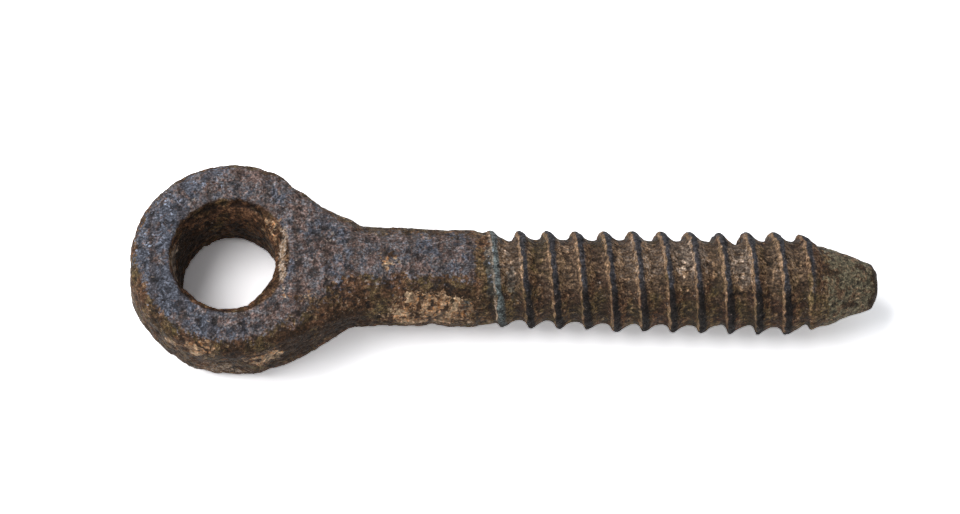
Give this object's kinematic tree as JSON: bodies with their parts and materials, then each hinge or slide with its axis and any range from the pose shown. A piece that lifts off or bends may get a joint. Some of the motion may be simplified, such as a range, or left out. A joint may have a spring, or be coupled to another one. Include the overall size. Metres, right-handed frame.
{
  "type": "screw eye",
  "caption": "Old forged iron screw eye: a thick round eye with a punched hole on a round shank that ends in a coarse right-hand wood-screw thread and a blunt hammered point.",
  "frame": {"origin": "centre of the eye's hole, half way between the eye's two flat faces", "axes": "+Z along the eye's hole, +X along the shank to the point; the shank's axis lies 1 mm to the -Y side of the eye's centre"},
  "size_m": [0.1661, 0.0446, 0.0231],
  "materials": {
    "rusted_iron": "rough, rusted and pitted"
  },
  "bodies": {
    "root": {"screw_eye": "rusted_iron"}
  },
  "joints": []
}
